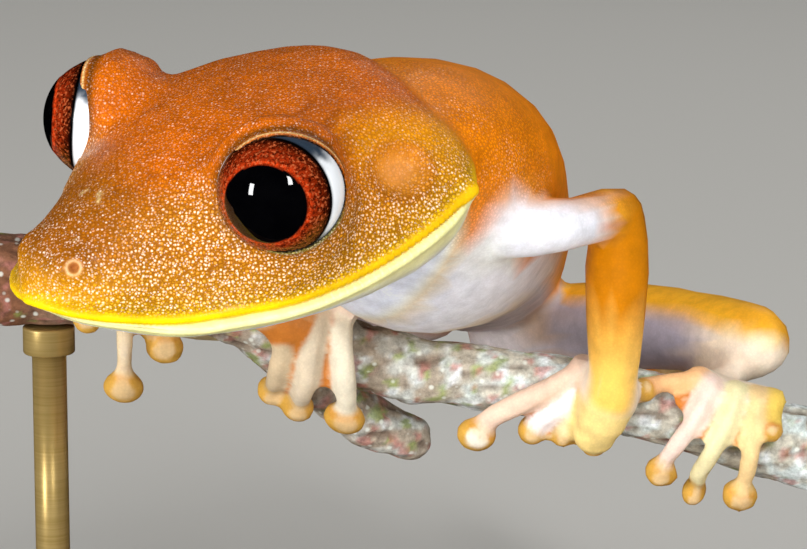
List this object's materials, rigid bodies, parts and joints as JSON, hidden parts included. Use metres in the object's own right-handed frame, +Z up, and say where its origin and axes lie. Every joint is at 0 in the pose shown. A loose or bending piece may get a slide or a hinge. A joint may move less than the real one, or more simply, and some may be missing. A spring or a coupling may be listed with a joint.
{
  "type": "tree frog model",
  "caption": "Life-size still model of an orange map tree frog gripping a short cut length of branch, held by rods on a flat wooden base.",
  "frame": {"origin": "middle of the underside of the stand's base", "axes": "+X towards the frog's left and along the branch, -Y towards the viewer of the picture and the front of the frog's body, +Z up"},
  "size_m": [0.084, 0.062, 0.0456],
  "materials": {
    "skin": "moist granular skin, orange above and white below",
    "pale_skin": "thin moist skin of hands and feet, pinkish to cream",
    "eye": "wet, dark red-brown iris under a clear cornea",
    "bark": "rough grey-brown bark with lichen",
    "base_wood": "dark stained wood, satin",
    "rod_metal": "satin"
  },
  "bodies": {
    "root": {"head": "skin", "eye_left": "eye", "eye_right": "eye", "torso": "skin", "upper_arm_left": "skin", "upper_arm_right": "skin", "forearm_left": "skin", "forearm_right": "skin", "hand_left": "pale_skin", "hand_right": "pale_skin", "thigh_left": "skin", "thigh_right": "skin", "shank_left": "skin", "shank_right": "skin", "foot_left": "pale_skin", "foot_right": "pale_skin", "perch_branch": "bark", "stand_base": "base_wood", "stand_rod_left": "rod_metal", "stand_rod_right": "rod_metal"}
  },
  "joints": []
}
